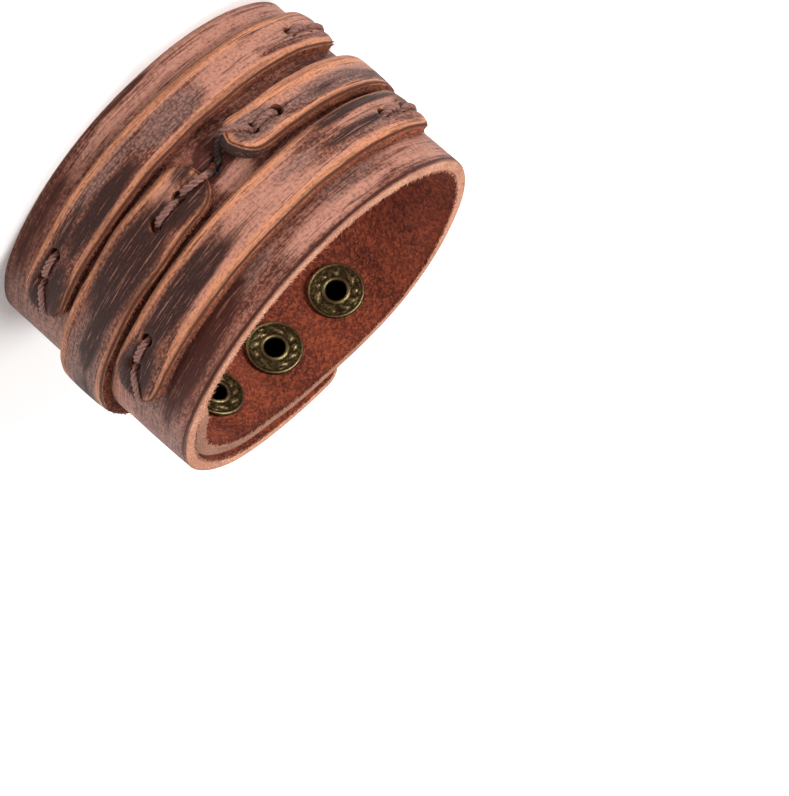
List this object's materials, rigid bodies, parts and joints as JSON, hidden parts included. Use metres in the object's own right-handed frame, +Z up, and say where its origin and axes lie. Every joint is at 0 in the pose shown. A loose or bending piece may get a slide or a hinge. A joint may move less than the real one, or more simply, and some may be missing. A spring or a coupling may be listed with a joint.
{
  "type": "leather cuff bracelet",
  "caption": "Wide leather wrist cuff with stitched overlay straps and antique-brass snaps, closed and standing on its rim.",
  "frame": {"origin": "middle of the whole cuff's plan, on the surface that its lower rim stands on", "axes": "+Z up along the wrist's axis, -Y out of the front with the straps, +Y towards the snaps, +X to the right seen from the front"},
  "size_m": [0.0766, 0.0684, 0.045],
  "materials": {
    "band_leather": "distressed brown pull-up leather, suede flesh side inside, pale cut edges",
    "strap_leather": "distressed brown pull-up leather with near-black patches and tan burnished edges",
    "antique_brass": "dark antique brass, worn on the raised relief",
    "waxed_thread": "thick twisted waxed thread"
  },
  "bodies": {
    "root": {"base_band": "band_leather", "lower_strap": "strap_leather", "middle_strap_left": "strap_leather", "middle_strap_right": "strap_leather", "upper_strap": "strap_leather", "snap_post_lower_open": "antique_brass", "snap_post_lower_closed": "antique_brass", "snap_post_lower_covered": "antique_brass", "snap_post_upper_open": "antique_brass", "snap_post_upper_closed": "antique_brass", "snap_post_upper_covered": "antique_brass", "snap_stud_lower_open": "antique_brass", "snap_stud_lower_closed": "antique_brass", "snap_stud_lower_covered": "antique_brass", "snap_stud_upper_open": "antique_brass", "snap_stud_upper_closed": "antique_brass", "snap_stud_upper_covered": "antique_brass", "snap_socket_lower": "antique_brass", "snap_socket_upper": "antique_brass", "snap_cap_lower": "antique_brass", "snap_cap_upper": "antique_brass"}
  },
  "joints": []
}
